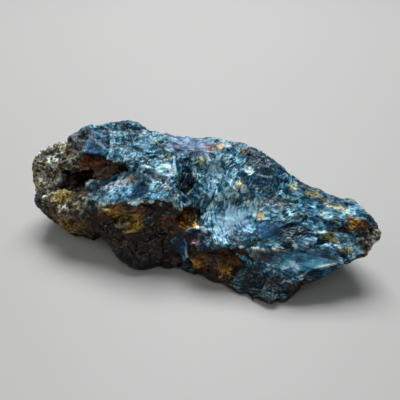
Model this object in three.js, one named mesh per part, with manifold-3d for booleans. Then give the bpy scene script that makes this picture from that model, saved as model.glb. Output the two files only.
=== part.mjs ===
// A rough lump of blue amber, 126 mm long, as one solid with no joints.
// Millimetres, +Z up. The long axis is X, the crusty blunt head points to -X and the thin beak to +X.
// The origin is on the surface the lump rests on, under the middle of its box.
// The lump is a union of convex blocks, each the hull of a few corners. Its fracture surfaces are
// conchoidal scoops: ellipsoids cut out of that union. The plane Z = 0 trims the feet it rests on.
import * as THREE from "three";
import { ConvexGeometry } from "three/addons/geometries/ConvexGeometry.js";
import { mergeVertices } from "three/addons/utils/BufferGeometryUtils.js";
import Module from "manifold-3d";

const wasm = await Module();
wasm.setup();

// How finely a scoop's ellipsoid is faceted, and the side of the block that trims the feet.
const SCOOP_DETAIL = 6;
const FLOOR_BLOCK = 200;
const WELD = 1e-4;

// Convex blocks: the corners of each, as [x, y, z].
const BLOCKS = {
  // The blunt end, crusted all over.
  head: [
    [-61.5, -4.4, 26], [-60.5, 0, 28], [-58.5, 2.4, 30], [-54.3, 4.2, 31], [-50, 12, 29],
    [-63, 2, 17], [-60, -9.2, 12], [-60, -11, 10], [-53, -14.5, 7], [-49, -15, 4],
    [-55, 14, 12], [-46, 17, 20], [-44, -13, -1], [-50, 0, 0], [-46, 14, 3], [-49, -3.9, 28],
    [-36, 18, 19], [-34, 14, 4], [-36, -6, -1],
  ],
  // The ledge under the cave, whose front edge is the lump's widest point at this end.
  bulge: [
    [-51, -12.4, 20], [-47, -10, 20.5], [-39.7, -10, 20.5], [-48.5, -16.2, 17], [-43.5, -17.6, 17],
    [-36.3, -17, 17], [-58, -12, 14], [-49, -15, 4], [-41.4, -14.6, 9], [-36, -14.4, 6],
    [-35, -14, -1], [-44, -13, -1], [-30, -15.5, 17], [-30, -10, 22], [-50, 0, 10], [-28, 0, 10],
  ],
  // The highest part, with its lower front edge hanging over the cave.
  dome: [
    [-49.2, 4.1, 34], [-42.6, 6.3, 38], [-36.5, 11, 39], [-32, 13, 39], [-28, 15, 38],
    [-20.6, 12.2, 36], [-13.7, 12.3, 35], [-49, -3.9, 28], [-46.7, -1.1, 31], [-40, -3.3, 31],
    [-35.5, -2.8, 33], [-31.4, -3.5, 31], [-27, -0.5, 31], [-20.3, 1.3, 31.5], [-12, 4, 32.5],
    [-50, 12, 28], [-40, 20, 30], [-28, 23.5, 28], [-12, 22, 30], [-3, 22, 27], [-47, 18, 18],
    [-34, 23, 15], [-12, 24, 14], [-45, 4, 18], [-10, 6, 18],
  ],
  // The sloping shelf in front of the dome, and the wall below its lip.
  shelf: [
    [-44, -10, 20.5], [-34, -2, 24.5], [-22, 1, 29], [-16, 2, 31.2], [-12.5, 10.5, 34.3],
    [-9.5, 5.5, 33.2], [-6.5, 1, 31.6], [-4.2, -4.5, 29.6], [-2.6, -8.5, 27.2], [-1.5, -11, 24],
    [-4, -11, 25.6], [-11, -12.5, 25], [-21, -15, 24], [-29, -16.5, 21], [-35, -15, 19],
    [-35, -14, -1], [-29, -14, 1], [-22.5, -20, 2], [-19, -21, 2], [-15, -20, -1], [-11, -18, -1],
    [-7, -17.6, 1], [2, -17, 1], [-19, -19, 9], [-42, 14, 3], [0, 18, 3], [-40, 16, 22],
    [0, 18, 25],
  ],
  // The back rim and the rounded shoulder at its right end.
  shoulder: [
    [-13.7, 12.3, 35], [-7, 17.5, 35], [3, 16, 35], [12, 18, 35], [20, 15.5, 34], [28, 12, 30],
    [34.6, 10, 27], [-9, 9.5, 33.5], [0.3, 6.2, 31], [17, 11, 32.5], [24.6, 8.6, 31.5],
    [29.5, 3.7, 28], [24.8, -0.5, 26], [28.6, -2.3, 24], [2.6, -1.4, 26], [5.1, -6.1, 18],
    [-24, 16, 31], [-26, 21, 14], [14, 24, 18], [32, 19, 18], [-12, 4, 12], [34, 4, 10],
    [-14, 20, 4], [16, 20, 1], [28, 17, 5],
  ],
  // The front of the middle, under the shoulder: its upper rim is the lip of the big scoop.
  apron: [
    [5.1, -6.1, 19], [14.3, -2, 21], [25, -2, 23], [28.6, -2.3, 24], [6, -19, 13], [8, -16.4, 14.5],
    [13, -14.6, 14.5], [19, -14.4, 14], [24.5, -12.4, 16.5], [24, -15.4, 11], [2, -17, 1],
    [8, -18, 0.5], [13, -19, 0.5], [20, -19.5, 2], [-4, -6, 3], [-4, -10, 18], [-1, -4, 19],
    [30, 0, 3], [0, 14, -1], [20, 14, -1],
  ],
  // The slope from the shoulder down to the foot and the thin end.
  saddle: [
    [24.8, -0.5, 26], [28.6, -2.3, 24.5], [29.5, 3.7, 28], [34.6, 10, 27], [24, -14.2, 14.8],
    [33.6, -11.3, 16.2], [41.4, -9.1, 18.2], [44, 8, 26], [20, -5, 17], [30, 5, 5], [22, -12, 5],
    [36, -9, 8], [40, 5, 8],
  ],
  // The foot that stands out at the front right, under the smooth teal facet.
  foot: [
    [24, -15, 15], [33.6, -11.1, 16.4], [36, -8, 17], [19, -14, 13.5], [13, -18, 2], [18, -20, 3],
    [21, -21.5, 1], [24, -23, -0.5], [27, -24, 0.3], [32, -22.5, -1], [36, -21, -1], [38, -19.5, 1.5],
    [37, -17.3, 7], [40.5, -14.7, 8], [46, -13, 10], [49, -8.2, 15], [41.4, -9.1, 18],
    [19, 0, -1], [40, -2, 1], [12, 10, -1], [32, 9, 2], [30, 5, 15],
  ],
  // The thin end, which hangs clear of the surface.
  beak: [
    [34.6, 10, 27], [44, 8, 26], [52.5, 7.6, 25], [55, 6, 25], [59, 3, 23], [63, 2, 19],
    [62, -0.5, 16.5], [60, -4, 14], [55.3, -6.5, 11], [51.5, -9.5, 11], [46, -13, 10],
    [40.5, -14.7, 8], [34, -11.5, 17.5], [41.4, -9.1, 18.5], [49, -8.2, 15.5], [35, 18, 20],
    [49, 16, 19], [59, 9, 16], [37, 18, 8], [51, 13, 9], [39, -2, 2], [49, 0, 5], [27, 6, 10],
    [30, 12, 26], [25, 19, 19], [26, 15, 5], [33, 5, 2],
  ],
};

// Conchoidal scoops: centre, radii, then the turns about X, Y and Z in degrees.
const SCOOPS = {
  bowl: { at: [15, -9.6, 24.4], size: [11.5, 12, 8], turn: [32, 0, 0] },
  chute: { at: [7, -0.5, 31.8], size: [4.8, 17, 7.5], turn: [39, 0, 6] },
  gully: { at: [-3.2, -1.5, 30], size: [3.4, 15, 6.5], turn: [39, 0, 17] },
  cave: { at: [-30.5, 0.5, 26.6], size: [13, 10.5, 4.4], turn: [0, -12, 0] },
  cave_end: { at: [-40.5, -3.6, 24], size: [7.4, 9, 4.6], turn: [0, -8, 0] },
  cave_arch: { at: [-36.4, -3, 29.4], size: [5.4, 5, 3.4], turn: [0, 0, 0] },
  dimple: { at: [-36.2, -3.2, 39.6], size: [6, 5, 4.4], turn: [35, 0, 0] },
  front_wall: { at: [-13, -22, 17], size: [20, 6.5, 6], turn: [0, -4, 3] },
  undercut: { at: [13, -20.5, 7.2], size: [9, 6, 5.6], turn: [0, 0, 0] },
  beak_hollow: { at: [41, -1, 32], size: [9, 6, 9], turn: [30, 0, 0] },
  beak_slit: { at: [52, -7, 19.5], size: [9, 5, 1.6], turn: [18, 8, 12] },
  back_left: { at: [-35, 34, 24], size: [22, 13, 15], turn: [0, 0, 6] },
  back_middle: { at: [4, 38, 25], size: [26, 17, 17], turn: [0, 0, 0] },
  back_right: { at: [44, 28, 18], size: [17, 13, 12], turn: [0, 8, -8] },
  sole: { at: [-2, 2, -5], size: [22, 11, 8], turn: [0, 0, 0] },
};

// A closed geometry as a manifold solid.
function solidOf(geometry) {
  const bare = geometry.clone();
  bare.deleteAttribute("normal");
  bare.deleteAttribute("uv");
  const merged = mergeVertices(bare, WELD);
  const mesh = new wasm.Mesh({
    numProp: 3,
    vertProperties: merged.attributes.position.array,
    triVerts: new Uint32Array(merged.index.array),
  });
  return new wasm.Manifold(mesh);
}

function block(corners) {
  return solidOf(new ConvexGeometry(corners.map((c) => new THREE.Vector3(...c))));
}

function scoop({ at, size, turn }) {
  const turned = new THREE.Euler(...turn.map(THREE.MathUtils.degToRad));
  const place = new THREE.Matrix4().compose(
    new THREE.Vector3(...at),
    new THREE.Quaternion().setFromEuler(turned),
    new THREE.Vector3(...size),
  );
  return solidOf(new THREE.IcosahedronGeometry(1, SCOOP_DETAIL).applyMatrix4(place));
}

// Everything below Z = 0, which trims the feet flat.
function floor() {
  const box = new THREE.BoxGeometry(FLOOR_BLOCK, FLOOR_BLOCK, FLOOR_BLOCK);
  return solidOf(box.translate(0, 0, -FLOOR_BLOCK / 2));
}

function lump() {
  let made = Object.values(BLOCKS).map(block).reduce((a, b) => a.add(b));
  for (const cut of Object.values(SCOOPS)) made = made.subtract(scoop(cut));
  return made.subtract(floor());
}

function geometryOf(solid) {
  const { vertProperties, triVerts } = solid.getMesh();
  const geometry = new THREE.BufferGeometry();
  geometry.setAttribute("position", new THREE.BufferAttribute(vertProperties, 3));
  geometry.setIndex(new THREE.BufferAttribute(triVerts, 1));
  geometry.computeVertexNormals();
  return geometry;
}

function roughAmber() {
  const material = new THREE.MeshStandardMaterial({ color: 0x2b3a40, roughness: 0.3, metalness: 0 });
  const mesh = new THREE.Mesh(geometryOf(lump()), material);
  mesh.name = "rough_amber";
  return mesh;
}

const part = new THREE.Group();
part.add(roughAmber());

export default part;
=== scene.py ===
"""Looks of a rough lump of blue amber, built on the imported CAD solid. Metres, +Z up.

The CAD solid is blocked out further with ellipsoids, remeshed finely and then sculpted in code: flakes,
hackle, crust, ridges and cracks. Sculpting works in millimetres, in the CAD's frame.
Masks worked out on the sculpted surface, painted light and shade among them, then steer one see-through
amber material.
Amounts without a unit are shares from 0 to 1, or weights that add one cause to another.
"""
import math

import bmesh
import bpy
import numpy as np
from mathutils import Euler, Matrix, Vector, noise
from mathutils.bvhtree import BVHTree
from mathutils.kdtree import KDTree


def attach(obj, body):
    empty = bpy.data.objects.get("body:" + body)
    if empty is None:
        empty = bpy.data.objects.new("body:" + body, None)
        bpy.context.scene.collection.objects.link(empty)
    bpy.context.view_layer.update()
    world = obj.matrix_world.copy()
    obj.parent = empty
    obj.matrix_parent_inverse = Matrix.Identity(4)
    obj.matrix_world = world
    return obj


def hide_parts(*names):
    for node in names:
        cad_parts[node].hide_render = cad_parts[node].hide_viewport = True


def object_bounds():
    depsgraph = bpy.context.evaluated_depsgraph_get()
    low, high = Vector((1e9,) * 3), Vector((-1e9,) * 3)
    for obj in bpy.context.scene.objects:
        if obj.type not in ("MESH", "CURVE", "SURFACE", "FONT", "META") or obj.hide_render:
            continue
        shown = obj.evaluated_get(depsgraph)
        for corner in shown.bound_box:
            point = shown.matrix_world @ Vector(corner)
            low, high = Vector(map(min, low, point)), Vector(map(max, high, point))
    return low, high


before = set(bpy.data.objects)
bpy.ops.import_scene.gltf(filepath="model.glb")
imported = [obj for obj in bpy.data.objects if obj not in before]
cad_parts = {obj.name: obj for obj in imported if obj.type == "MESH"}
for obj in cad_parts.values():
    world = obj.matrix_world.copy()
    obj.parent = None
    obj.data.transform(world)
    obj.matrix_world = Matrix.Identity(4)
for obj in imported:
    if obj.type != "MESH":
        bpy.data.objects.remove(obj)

CAD_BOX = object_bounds()
MM = 0.001
SEED = 11
# The grid that the solid is remeshed on, in millimetres: just coarse enough to keep the mesh under
# 200,000 triangles.
VOXEL = 0.485

# Ellipsoids cut out of the CAD solid: centre, radii, then any turns about X, Y and Z in degrees.
CUTS = {
    "cave_left": ((-44.4, -3.5, 23.4), (5.4, 7.5, 3.2)),
    "cave_right": ((-31, 0, 27.2), (10, 9, 2.1), (0, -16, 0)),
    "cave_arch": ((-37.2, -4.6, 29.4), (5.4, 4.8, 3.6)),
    "wall_left": ((-20, -21.5, 17), (12, 7, 5), (0, -5, -4)),
    "wall_right": ((-5, -20, 17.5), (8, 8, 5.5), (0, -5, 14)),
    "wall_groove": ((-8, -22, 9), (2, 3.6, 7), (0, 24, 0)),
    "wall_corner": ((-33, -20, 5), (4, 5, 9), (0, 20, 0)),
    "wall_step": ((-30.6, -16.5, 1), (5.8, 9, 4.6)),
    "keel_notch": ((-7.5, -19.8, 0.5), (3.6, 2.6, 2.6)),
    "gully_foot": ((0.8, -9.5, 18.6), (4.5, 4.5, 3.6)),
    "bowl_hole": ((11.5, -4.5, 20.2), (1.5, 2.4, 1.7)),
    "undercut_deep": ((13, -21.5, 8), (9.5, 8.5, 5.6)),
    "beak_slit": ((48.8, -4.6, 20.6), (6.5, 2.4, 0.7), (0, 10, 10)),
    "beak_box": ((46, -7.4, 18.9), (2.9, 2.4, 1.8), (0, 10, 0)),
    "dimple": ((-36, -3.2, 38.6), (5.6, 4.4, 4.6), (35, 0, 0)),
}

# Ellipsoids added to it, in the same form.
BULGES = {
    "nodule": ((-57, -11.2, 13.4), (2.3, 2.3, 3.4)),
    "lower_lump": ((-17.6, -15.5, 4.8), (8.4, 6.4, 6.4), (0, 10, 0)),
    "bump": ((13.8, 1.4, 25.2), (4, 3.4, 3)),
    "bowl_slope": ((17.5, -2.6, 19), (9.5, 7, 2.4), (38, 0, 0)),
    "dome_brow": ((-26, 0.4, 31), (9, 3.6, 2.4), (0, -8, 0)),
    "dome_cheek": ((-44.8, -2.8, 28), (6, 3.6, 2.9)),
    "cave_sill": ((-34.5, -7, 23), (5, 3.4, 2)),
    "cave_floor": ((-27.5, -5, 23.6), (6.5, 4, 1.8), (0, -8, 0)),
    "cave_ramp": ((-24, -5.4, 25.2), (4.2, 3.4, 1.6), (0, -14, 0)),
    "cave_wedge": ((-21.5, -2.5, 26.2), (7.5, 3.5, 2.8), (0, -16, 0)),
    "cave_post": ((-38.2, -0.6, 24.8), (2.6, 3.2, 3.6)),
    "keel": ((3.4, -16.2, 2), (6.6, 3.2, 2.6)),
    "foot_toe": ((29, -21.2, 2.2), (6, 2.7, 2.4)),
    "cave_back": ((-37, 3.4, 29.8), (7, 4.5, 3.4)),
    "foot_edge": ((43, -13.6, 9.8), (11, 4, 1.5), (57, -18, 25)),
    "cave_depth": ((-33, 5.6, 26.5), (14, 4.6, 6), (0, -12, 0)),
    "cave_lid": ((-21.5, -0.5, 31), (5, 3.6, 2.6), (0, 6, 0)),
    "cave_end": ((-16.6, -0.8, 29.2), (3.6, 6, 3.2)),
}

# Where the fracture is smooth: centre, radii and how smooth, 0 to 1.
CALM = {
    "plateau": ((-5, 13, 34), (14, 8, 6), 0.8),
    "dimple": ((-36, -0.4, 34), (5.5, 5, 4), 1),
    "dome_band": ((-19.5, 5.5, 34), (4, 6, 4), 0.7),
    "teal_facet": ((40.5, -12.6, 12.6), (14, 8, 6.5), 1),
    "ridge_wedge": ((27.5, -14.5, 13.6), (7, 4, 3.4), 0.9),
    "bowl": ((15, -7, 18), (12, 10, 9), 0.5),
    "bowl_spot": ((16.8, -4.6, 19), (3, 3, 3), 0.8),
    "shelf_wedge": ((-16, -9, 26), (6, 5, 4), 0.9),
    "saddle_window": ((27.9, -8.7, 19.2), (6, 5, 5), 0.9),
    "triangle": ((-0.5, -15.5, 9), (6, 5, 6), 1),
    "red_face": ((-2.6, -13.1, 17.7), (6, 5, 5), 0.8),
    "undercut": ((13, -15, 8), (11, 6, 7), 0.8),
    "lower_lump": ((-12, -18, 5), (16, 7, 8), 0.25),
    "beak_back": ((42, 9, 24), (18, 9, 8), 0.6),
    "right_dome": ((22, 8, 30), (13, 11, 9), 0.55),
    "back_middle": ((6, 23, 22), (13, 8, 9), 0.9),
    "back_right": ((38, 17, 17), (10, 8, 8), 0.8),
    "back_left": ((-28, 23, 27), (9, 7, 7), 0.8),
}

# Where fine pale strands follow the hackle, in the same form.
STRANDS = {
    "bowl": ((15, -8, 17), (12, 9, 9), 1),
    "chute": ((6, 3, 27), (5, 10, 8), 0.7),
    "bump": ((14.5, 0, 27), (6, 5, 4), 0.9),
    "saddle": ((33, -5, 20), (9, 7, 6), 0.6),
    "plateau": ((-5, 13, 34), (14, 8, 6), 0.5),
    "right_dome": ((22, 8, 30), (13, 11, 9), 0.7),
    "teal_facet": ((40.5, -12.6, 12.6), (14, 8, 6.5), 0.2),
}

# Where the lump keeps its grainy crust, in the same form.
CRUST = {
    "head": ((-58, -2, 19), (15, 22, 24), 1),
    "ledge": ((-45, -13, 16), (20, 12, 14), 1),
    "left_wall": ((-43, -16, 8), (13, 9, 10), 1),
    "tip": ((62, -1, 17), (9, 11, 9), 1),
    "dome_left": ((-46, 1, 31), (10, 11, 9), 0.8),
    "cheek": ((-46, -4, 27), (9, 6, 6), 1),
    "sill": ((-39, -8.5, 23), (5, 5, 4), 1),
    "back_rind": ((-22, 25, 14), (20, 8, 12), 1),
    "back_foot": ((22, 20, 3), (18, 12, 8), 1),
}
# The smooth dark nodule that stands out of the crust.
NODULE = ((-57.8, -11.5, 13.6), (4.5, 5, 6.5))

# Where big flakes have left deep facets, in the same form.
BROKEN = {
    "front_wall": ((-10, -18, 8), (24, 9, 13), 1),
    "foot": ((28, -21, 5), (12, 8, 8), 0.3),
    "back": ((0, 22, 14), (60, 12, 16), 0.8),
}

# The kinds of flake scar: how far apart, how tilted, how hollow and how deep. Spacing is in millimetres.
FLAKES = {
    "broken": (7.5, 0.32, 0.12, 1),
    "large": (6.5, 0.16, 0.16, 0.9),
    "medium": (3, 0.25, 0.2, 0.8),
    "small": (1.5, 0.25, 0.2, 0.6),
}
# How many of the nearest scars can shape a point.
SCARS_NEAR = 5

# The direction that the hackle runs in, by place: centre, radii, direction, length and width.
UPSLOPE = (-0.25, 0.82, 0.52)
HACKLE = [
    ((-2, 2, 27), (10, 16, 12), UPSLOPE, 6, 0.9),
    ((-5, 13, 34), (14, 8, 6), (1, 0.15, 0), 8, 0.9),
    ((20, 9, 31), (14, 13, 10), (0.35, 0.85, 0.4), 5, 0.9),
    ((46, 4, 23), (20, 12, 8), (0.95, 0.05, -0.25), 7, 0.9),
    ((32, -5, 20), (11, 9, 7), (0.85, 0.45, 0.25), 6, 0.9),
    ((42, -12, 12), (16, 9, 9), (0.96, 0.17, -0.23), 9, 0.9),
    ((-16, -6, 28), (20, 12, 8), (0.6, 0.7, 0.3), 2.2, 0.9),
    ((-32, 8, 36), (20, 14, 8), (-0.2, 0.8, 0.4), 1.6, 0.9),
    ((-10, -16, 12), (24, 7, 12), (0.8, 0.2, 0.5), 5, 1.8),
    ((28, -21, 4), (13, 7, 8), (0.8, -0.2, 0.55), 2.5, 1.1),
]
# The bowl's hackle runs in arcs round this point instead.
RING_CENTRE = np.array((26.0, -4.5, 23.0))
RING_REGION = ((12, -6, 20), (13, 12, 11))
RING_WIDTH = 1.1
RING_LENGTH = 4.5
RING_STRENGTH = 1.5
# Every place counts at least this much, so that the hackle has a direction everywhere.
FAINTEST = 1e-3
HACKLE_DEPTH = 0.14
# Its two layers of crests: how strong each is, and how much finer the second is.
COARSE_CREST = 3
FINE_CREST = 2
FINER = 2.1
# How the hackle bends: how far, over how many millimetres, and where in the noise it starts.
HACKLE_BENDS = ((1.6, 13, 0), (0.7, 4, 12))
# How much its boundaries wander, in the same form. Ridges and cracks wander too.
BOUNDARY_BEND = (3, 6, 5)
CREASE_BENDS = ((0.9, 6, 5), (0.3, 2, 9))
# How many rounds of smoothing blend the blocks, and how many more the bowl gets, with its place.
SETTLING = 8
BOWL_SETTLING = 90
BOWL = ((14, -4, 22), (18, 15, 14))
# Points that stand out of their surroundings by more than this, in millimetres, are blunted.
SHARPEST = 0.45
BLUNT_PASSES = 3
BLUNT_ROUNDS = 6
# How many rounds of neighbours make up a point's surroundings.
SURROUNDINGS = 14
# The broad bends of the facets: how wide and how deep, and how far the whole surface swells.
BEND_SIZE = 13
BEND_DEPTH = 0.9
SWELL = 0.2
# How much of the large flakes stays where it is calm, and how much of the smaller ones goes where it is
# broken, with the weights of the large, medium and small flakes' shades.
LARGE_KEPT = 0.4
SMALL_LOST = 0.5
SHADE_WEIGHTS = (0.5, 0.6, 0.5)
# The crust's grains: their size and their depth, coarse and fine, how far they raise the surface, and
# what keeps the fine ones off the coarse ones.
GRAIN_SIZES = (2.2, 1.2)
GRAIN_DEPTHS = (0.9, 0.5)
GRAIN_RISE = 0.75
GRAIN_SHIFT = 7
# How steeply a crease rises to its middle.
CREASE_POWER = 1.5
# How much of the roughness a fully calm place loses, and how much of the shade.
CALMING = 0.85
SHADE_CALMING = 0.6
# Colours follow the flakes: the shares of the medium flake's middle, the small one's and the point.
FOLLOWING = (0.5, 0.2, 0.3)

# Narrow raised ridges (+) and cracks (-): half width, height and the points of the path.
CREASES = [
    # Lip.
    (0.45, 0.4, [
        (-31, -16.5, 20.6), (-24.6, -16, 22.6), (-17, -14, 23.8),
        (-11, -12.6, 25), (-4, -10.6, 25.6),
    ]),
    # Step ridge.
    (0.6, 0.6, [(-2.2, -8.5, 26.5), (-4, -1, 31.4), (-7, 5.5, 33.6)]),
    # Ridge over the teal facet.
    (0.6, 1, [(20.3, -14.8, 14.7), (27.3, -14.6, 15.6), (33.6, -13.1, 16.4), (38.5, -11.3, 17.9)]),
    # Crack across the teal facet.
    (0.5, -0.7, [(35.7, -11.8, 16.3), (42, -10.6, 15.2), (50.1, -9.3, 12.8)]),
    # Teal facet's lower edge.
    (0.35, 0.6, [(33.3, -19.8, 6.2), (37.6, -18, 8), (44.5, -14.1, 11.3), (53, -8.2, 13.5)]),
    # Slit in the thin end.
    (0.7, -1.2, [(42.5, -4.6, 20.4), (46.9, -2.5, 19.8), (51.5, -2.6, 21.5)]),
    # Outline of the hollow beside it.
    (0.5, -0.8, [(42.7, -6.4, 19.9), (43.9, -8.1, 17.4), (47.6, -5.9, 16.9), (47.1, -3.6, 19)]),
    # Ladder marks on the dome.
    (0.4, -0.6, [(-18.3, 4.6, 34.3), (-15.7, 6.3, 33.8)]),
    (0.4, -0.6, [(-17.7, 3, 33.7), (-14.9, 4.4, 33.4)]),
    (0.4, -0.6, [(-17.3, 1.8, 32.9), (-14.4, 3, 32.7)]),
    # Ridge and crack across the back.
    (0.5, 0.8, [(-40, 24, 24), (-22, 26, 19), (-4, 22, 20), (8, 24, 12), (24, 22, 15), (40, 20, 10)]),
    (0.7, -0.9, [(-12, 24, 32), (-6, 22, 20), (4, 20, 10)]),
    # Edge of the triangle.
    (0.4, 0.6, [(1.4, -16, 4.9), (3.2, -15.5, 12.5)]),
    # Apron edge.
    (0.6, 0.7, [(1.5, -10.6, 18.4), (6.1, -12.6, 16.9), (9.5, -13.6, 14.8)]),
    # Strand below it.
    (0.4, 0.5, [(4.4, -16.6, 7), (5.4, -15.8, 10.5), (8, -14.6, 14)]),
]


# ---- surface helpers


class Surface:
    """The lump's vertices as arrays in millimetres, with the edges that join them."""

    def __init__(self, mesh):
        self.mesh = mesh
        count = len(mesh.vertices)
        flat = np.zeros(count * 3)
        mesh.vertices.foreach_get("co", flat)
        self.points = flat.reshape(-1, 3) / MM
        ends = np.zeros(len(mesh.edges) * 2, np.int64)
        mesh.edges.foreach_get("vertices", ends)
        self.edges = ends.reshape(-1, 2)
        self.valence = np.bincount(ends, minlength=count)

    def write(self):
        self.mesh.vertices.foreach_set("co", (self.points * MM).ravel())
        self.mesh.update()

    def normals(self, rounds=0):
        """Vertex normals, blurred over as many rounds of neighbours."""
        self.write()
        flat = np.zeros(len(self.points) * 3)
        self.mesh.vertices.foreach_get("normal", flat)
        return self.blurred(flat.reshape(-1, 3), rounds)

    def around(self, values):
        """The mean of each vertex's neighbours, for one column of values or several."""
        columns = values.reshape(len(self.points), -1)
        a, b = self.edges.T
        total = np.stack([
            np.bincount(a, c[b], len(columns)) + np.bincount(b, c[a], len(columns))
            for c in columns.T
        ], axis=1)
        return (total / self.valence[:, None]).reshape(values.shape)

    def blurred(self, values, rounds):
        for _ in range(rounds):
            values = (values + self.around(values)) / 2
        return values

    def relax(self, rounds, weight=1.0):
        for _ in range(rounds):
            self.points += (self.around(self.points) - self.points) * np.reshape(weight, (-1, 1)) / 2

    def sharpness(self):
        """How far each point stands out of its surroundings, in millimetres."""
        return ((self.points - self.blurred(self.points, SURROUNDINGS)) * self.normals(3)).sum(axis=1)

    def push(self, height, rounds=3):
        """Moves every point along its blurred normal."""
        self.points += self.normals(rounds) * np.reshape(height, (-1, 1))


# How quickly a place fills up inwards from its edge: at 2, it is full where its falloff reaches a half.
REGION_FULLNESS = 2
TONE_FULLNESS = 1.8
STAIN_FULLNESS = 2.2
# What keeps the noise of the three axes apart.
AXIS_SHIFTS = (0, 31, 67)


def sampled(function, points, scale, shift=0.0):
    """A mathutils.noise function over points, with features about scale millimetres wide."""
    return np.array([function(Vector(p)) for p in points / scale + shift])


def falloff(points, centre, radius):
    """1 at the centre, smoothly down to 0 at the radius."""
    t = np.clip(1 - np.linalg.norm((points - centre) / radius, axis=1), 0, 1)
    return t * t * (3 - 2 * t)


def region(points, places):
    """The strongest of the named places at each point. Each fades softly to 0 at its edge."""
    inside = [
        strength * np.clip(REGION_FULLNESS * falloff(points, centre, radii), 0, 1)
        for centre, radii, strength in places.values()
    ]
    return np.max(inside, axis=0)


def added(name, data):
    """A new object in the scene."""
    made = bpy.data.objects.new(name, data)
    bpy.context.scene.collection.objects.link(made)
    return made


# ---- blocking out


def ellipsoid(name, centre, radii, turns=(0, 0, 0)):
    """An ellipsoid given in millimetres, as an object in the scene."""
    shape = bmesh.new()
    turn = Euler([math.radians(t) for t in turns]).to_matrix().to_4x4()
    place = Matrix.Translation(Vector(centre) * MM) @ turn @ Matrix.Diagonal([*(Vector(radii) * MM), 1])
    bmesh.ops.create_icosphere(shape, subdivisions=4, radius=1, matrix=place)
    mesh = bpy.data.meshes.new(name)
    shape.to_mesh(mesh)
    shape.free()
    return added(name, mesh)


def blocked_out(source):
    """A fine even mesh of a CAD node, less the cuts and with the bulges."""
    piece = added("block_out", source.data.copy())
    tools = []
    for operation, places in (("UNION", BULGES), ("DIFFERENCE", CUTS)):
        for name, place in places.items():
            tools.append(ellipsoid(name, *place))
            step = piece.modifiers.new(name, "BOOLEAN")
            step.operation = operation
            step.object = tools[-1]
    remesh = piece.modifiers.new("remesh", "REMESH")
    remesh.mode = "VOXEL"
    remesh.voxel_size = VOXEL * MM
    bpy.context.view_layer.update()
    fine = bpy.data.meshes.new_from_object(piece.evaluated_get(bpy.context.evaluated_depsgraph_get()))
    for used in [piece, *tools]:
        bpy.data.objects.remove(used)
    fine.materials.clear()
    return fine


# ---- sculpting


def warp(surface):
    """Bends the flat CAD facets with broad noise."""
    bend = sampled(lambda p: noise.fractal(p, 1.0, 2.0, 3), surface.points, BEND_SIZE)
    surface.push(SWELL + BEND_DEPTH * bend, 6)


def flakes(surface, rng, kind, mask):
    """Flake scars that meet in sharp ridges: each point drops to the lowest of the tilted dishes near it.

    Returns for each point its flake's random shade, -1 to 1, and the place of its middle.
    """
    spacing, tilt, dish, depth = FLAKES[kind]
    low, high = np.array(CAD_BOX) / MM
    count = int(np.prod(high - low) / spacing ** 3)
    seeds = rng.uniform(low, high, (count, 3))
    slopes = rng.normal(size=(count, 3)) * tilt
    shades = rng.uniform(-1, 1, count)
    tree = KDTree(count)
    for i, seed in enumerate(seeds):
        tree.insert(seed, i)
    tree.balance()
    found = np.array([[i for _, i, _ in tree.find_n(p, SCARS_NEAR)] for p in surface.points])
    offset = surface.points[:, None, :] - seeds[found]
    height = (offset * slopes[found]).sum(2) + dish * (offset ** 2).sum(2) / spacing
    lowest = height.argmin(axis=1)
    chosen = height.min(axis=1)
    chosen = np.minimum(chosen - chosen.mean(), chosen.std())
    surface.push(chosen * depth * mask, 4)
    own = found[np.arange(len(found)), lowest]
    members = np.maximum(np.bincount(own, minlength=count), 1)
    middles = np.stack([np.bincount(own, axis, count) / members for axis in surface.points.T], axis=1)
    return shades[own], middles[own]


def stretched(points, along, length, width):
    """Coordinates that run slowly along one direction and quickly across it."""
    axis = np.array(along, float)
    axis /= np.linalg.norm(axis)
    run = points @ axis
    return points / width + np.outer(run, axis) * (1 / length - 1 / width)


def wobble(points, far, scale, shift):
    """A smooth random offset for each point, far millimetres long, that changes over about scale."""
    axes = [sampled(noise.noise, points, scale, shift + axis) for axis in AXIS_SHIFTS]
    return far * np.stack(axes, axis=1)


def flow(points):
    """Coordinates in which the hackle is plain noise: each point takes those of its strongest place."""
    moved = points + sum(wobble(points, *bend) for bend in HACKLE_BENDS)
    bounds = points + wobble(points, *BOUNDARY_BEND)
    ring = np.linalg.norm(moved - RING_CENTRE, axis=1)
    best = RING_STRENGTH * falloff(bounds, *RING_REGION)
    across, along, up = ring / RING_WIDTH, moved[:, 0] / RING_LENGTH, moved[:, 2] / RING_LENGTH
    coordinates = np.stack([across, along, up], axis=1)
    for centre, radii, along, length, width in HACKLE:
        weight = FAINTEST + falloff(bounds, centre, radii)
        nearer = weight > best
        best = np.where(nearer, weight, best)
        coordinates[nearer] = stretched(moved[nearer], along, length, width)
    return coordinates


def ridged(p):
    """Noise with a sharp crest wherever it crosses 0."""
    return 1 - COARSE_CREST * abs(noise.noise(p)) - FINE_CREST * abs(noise.noise(p * FINER))


def crease(surface, width, height, path):
    """Raises or cuts a narrow line along a path."""
    nearest = np.full(len(surface.points), np.inf)
    moved = surface.points + sum(wobble(surface.points, *bend) for bend in CREASE_BENDS)
    for start, end in zip(np.array(path[:-1]), np.array(path[1:])):
        step = end - start
        t = np.clip((moved - start) @ step / (step @ step), 0, 1)
        nearest = np.minimum(nearest, np.linalg.norm(moved - start - np.outer(t, step), axis=1))
    line = np.clip(1 - nearest / width / 2, 0, 1) ** CREASE_POWER
    surface.push(height * line, 2)
    return line * np.sign(height)


def grain(p):
    distances, _ = noise.voronoi(p)
    return distances[0]


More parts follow.
